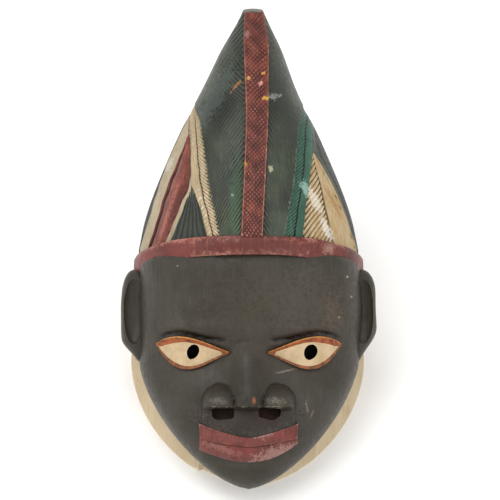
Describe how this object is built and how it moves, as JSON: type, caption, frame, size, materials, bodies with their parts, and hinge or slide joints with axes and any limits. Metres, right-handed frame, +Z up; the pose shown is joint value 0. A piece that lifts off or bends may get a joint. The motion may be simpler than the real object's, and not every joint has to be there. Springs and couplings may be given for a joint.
{
  "type": "helmet mask",
  "caption": "Carved and painted wooden helmet mask with a broad face, drilled eyes and a tall pointed plaited headdress, hollow from below.",
  "frame": {"origin": "middle of the flat rim's level under the mask's bounding box", "axes": "+X to the right of someone facing the mask, +Y from the chin back to the peak, +Z up from the rim"},
  "size_m": [0.2166, 0.3539, 0.2472],
  "materials": {
    "paintedWood": "hand-carved wood under worn matt oil paint"
  },
  "bodies": {
    "root": {"mask": "paintedWood"}
  },
  "joints": []
}
